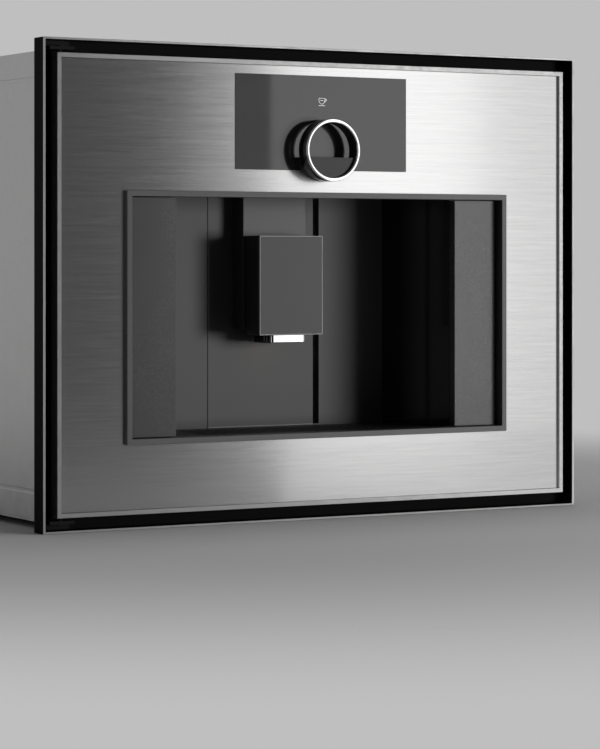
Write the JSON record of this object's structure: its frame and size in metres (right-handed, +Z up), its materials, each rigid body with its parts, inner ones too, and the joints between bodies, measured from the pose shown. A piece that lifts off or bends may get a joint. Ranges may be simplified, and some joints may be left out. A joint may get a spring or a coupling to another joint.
{
  "type": "built-in coffee machine",
  "caption": "Built-in coffee machine with a hinged steel door, a display with a turning control ring, a lit cup niche and a height-adjustable outlet.",
  "frame": {"origin": "centre of the footprint's bounding box, at the level of the feet and the frame's bottom edge", "axes": "+Z up, the front faces -Y, +X to the right seen from the front"},
  "size_m": [0.594, 0.4696, 0.455],
  "materials": {
    "steel": "horizontally brushed stainless steel",
    "border_steel": "satin stainless steel",
    "frame_black": "black with a thin polished front edge",
    "chrome": "polished",
    "ring_black": "glossy black",
    "anthracite": "satin anthracite",
    "gloss_black": "glossy black",
    "display": "dark glossy glass",
    "black": "fine matt black",
    "grey_plastic": "fine matt grey",
    "zinc": "zinc-plated sheet steel",
    "clear": "clear moulded container",
    "brass": "machined",
    "rubber": "matt",
    "board_green": "circuit board",
    "silicone": "food-grade hose"
  },
  "bodies": {
    "housing": {"outer_frame": "frame_black", "front_chassis": "black", "bulkhead": "zinc", "base_pan": "zinc", "left_side_panel": "zinc", "right_side_panel": "zinc", "top_cover": "zinc", "rear_panel": "zinc", "front_left_foot": "rubber", "front_right_foot": "rubber", "rear_left_foot": "rubber", "rear_right_foot": "rubber", "upper_hinge": "zinc", "lower_hinge": "zinc", "niche_shell": "gloss_black", "niche_back": "anthracite", "left_fascia": "anthracite", "right_fascia": "anthracite", "niche_deck": "black", "drip_tray": "grey_plastic", "grounds_box": "grey_plastic", "lift_rail": "zinc", "water_tank": "clear", "tank_lid": "grey_plastic", "bean_hopper": "clear", "hopper_lid": "grey_plastic", "grinder_body": "grey_plastic", "fixed_burr": "zinc", "grinder_motor": "zinc", "brew_frame": "grey_plastic", "brew_motor": "zinc", "pump": "brass", "heater": "zinc", "tank_hose": "silicone", "pressure_hose": "silicone", "brew_hose": "silicone", "control_board": "board_green", "power_inlet": "black", "latch_housing": "grey_plastic"},
    "door": {"door_frame": "border_steel", "door_panel": "steel", "door_backing": "grey_plastic", "niche_bezel": "anthracite", "display_glass": "display", "display_module": "grey_plastic", "door_liner": "black", "ring_carrier": "ring_black"},
    "turning_ring": {"control_ring": "ring_black", "ring_rim": "chrome"},
    "outlet": {"lift_column": "anthracite", "head_shell": "black", "head_face": "anthracite", "outlet_block": "chrome"},
    "grid": {"drip_grid": "black"},
    "float": {"tray_float": "silicone"},
    "plunger": {"latch_plunger": "zinc"},
    "selector": {"grind_selector": "black"},
    "burr": {"turning_burr": "zinc"},
    "piston": {"brew_piston": "brass"},
    "spindle": {"brew_spindle": "zinc"}
  },
  "joints": [
    {"name": "door_hinge", "type": "hinge", "parent": "housing", "child": "door", "pos_m": [-0.277, -0.2072, 0], "axis": [0, 0, -1], "range_deg": [0, 110]},
    {"name": "ring_turn", "type": "hinge", "parent": "door", "child": "turning_ring", "pos_m": [0, -0.2272, 0.356], "axis": [0, 1, 0], "continuous": true},
    {"name": "outlet_lift", "type": "slide", "parent": "housing", "child": "outlet", "axis": [0, 0, 1], "range_m": [-0.014, 0.076]},
    {"name": "grid_lift", "type": "slide", "parent": "housing", "child": "grid", "axis": [0, 0, 1], "range_m": [0, 0.05]},
    {"name": "float_rise", "type": "slide", "parent": "housing", "child": "float", "axis": [0, 0, 1], "range_m": [0, 0.012]},
    {"name": "latch_push", "type": "slide", "parent": "housing", "child": "plunger", "axis": [0, 1, 0], "range_m": [0, 0.004], "stiffness_N_per_m": 600, "springref_m": -0.003},
    {"name": "selector_turn", "type": "hinge", "parent": "housing", "child": "selector", "pos_m": [0.24, -0.1972, 0.332], "axis": [0, 1, 0], "range_deg": [-100, 100]},
    {"name": "burr_turn", "type": "hinge", "parent": "housing", "child": "burr", "pos_m": [0.13, -0.0302, 0.3], "axis": [0, 0, 1], "continuous": true},
    {"name": "piston_drive", "type": "slide", "parent": "housing", "child": "piston", "axis": [0, 0, -1], "range_m": [0, 0.04]},
    {"name": "spindle_turn", "type": "hinge", "parent": "housing", "child": "spindle", "pos_m": [0, -0.0352, 0.3], "axis": [0, 0, 1], "range_deg": [0, 721]}
  ],
  "couplings": [
    {"joint": "spindle_turn", "follows": "piston_drive", "rad_per_m": 314.16}
  ]
}
